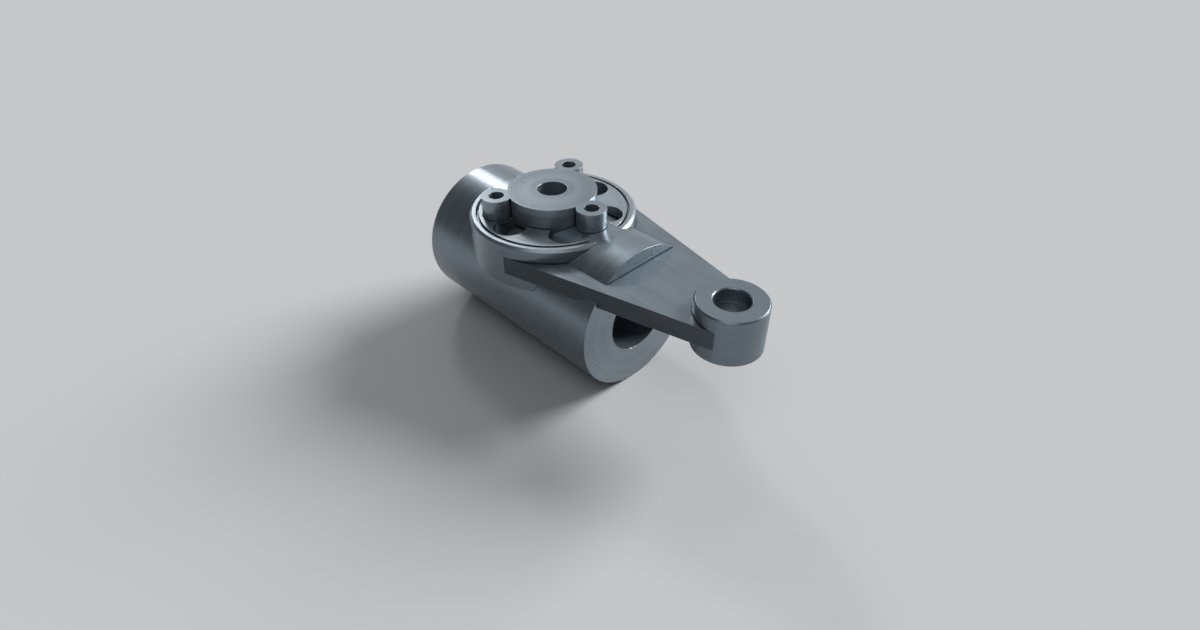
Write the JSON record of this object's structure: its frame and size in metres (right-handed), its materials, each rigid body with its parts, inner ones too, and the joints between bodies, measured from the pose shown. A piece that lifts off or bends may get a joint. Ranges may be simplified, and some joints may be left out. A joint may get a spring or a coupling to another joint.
{
  "type": "lever arm with cross tube",
  "caption": "Brazed steel lever: cross tube under a grooved round head, tapered web to an end boss, and a lugged hub on top.",
  "frame": {"origin": "middle of the cross tube, on the axis of its bore", "axes": "+X along the cross bore towards the end boss, +Z from the tube up to the hub, +Y to the left; the X-Z plane is the mirror plane"},
  "size_m": [0.2025, 0.09, 0.09],
  "materials": {
    "tube_steel": "turned, satin",
    "head_steel": "faced, satin",
    "web_steel": "ground flat, satin",
    "boss_steel": "turned, satin",
    "hub_steel": "faced, satin"
  },
  "bodies": {
    "root": {"cross_tube": "tube_steel", "left_cheek": "head_steel", "right_cheek": "head_steel", "web_plate": "web_steel", "end_boss": "boss_steel", "lug_hub": "hub_steel"}
  },
  "joints": []
}
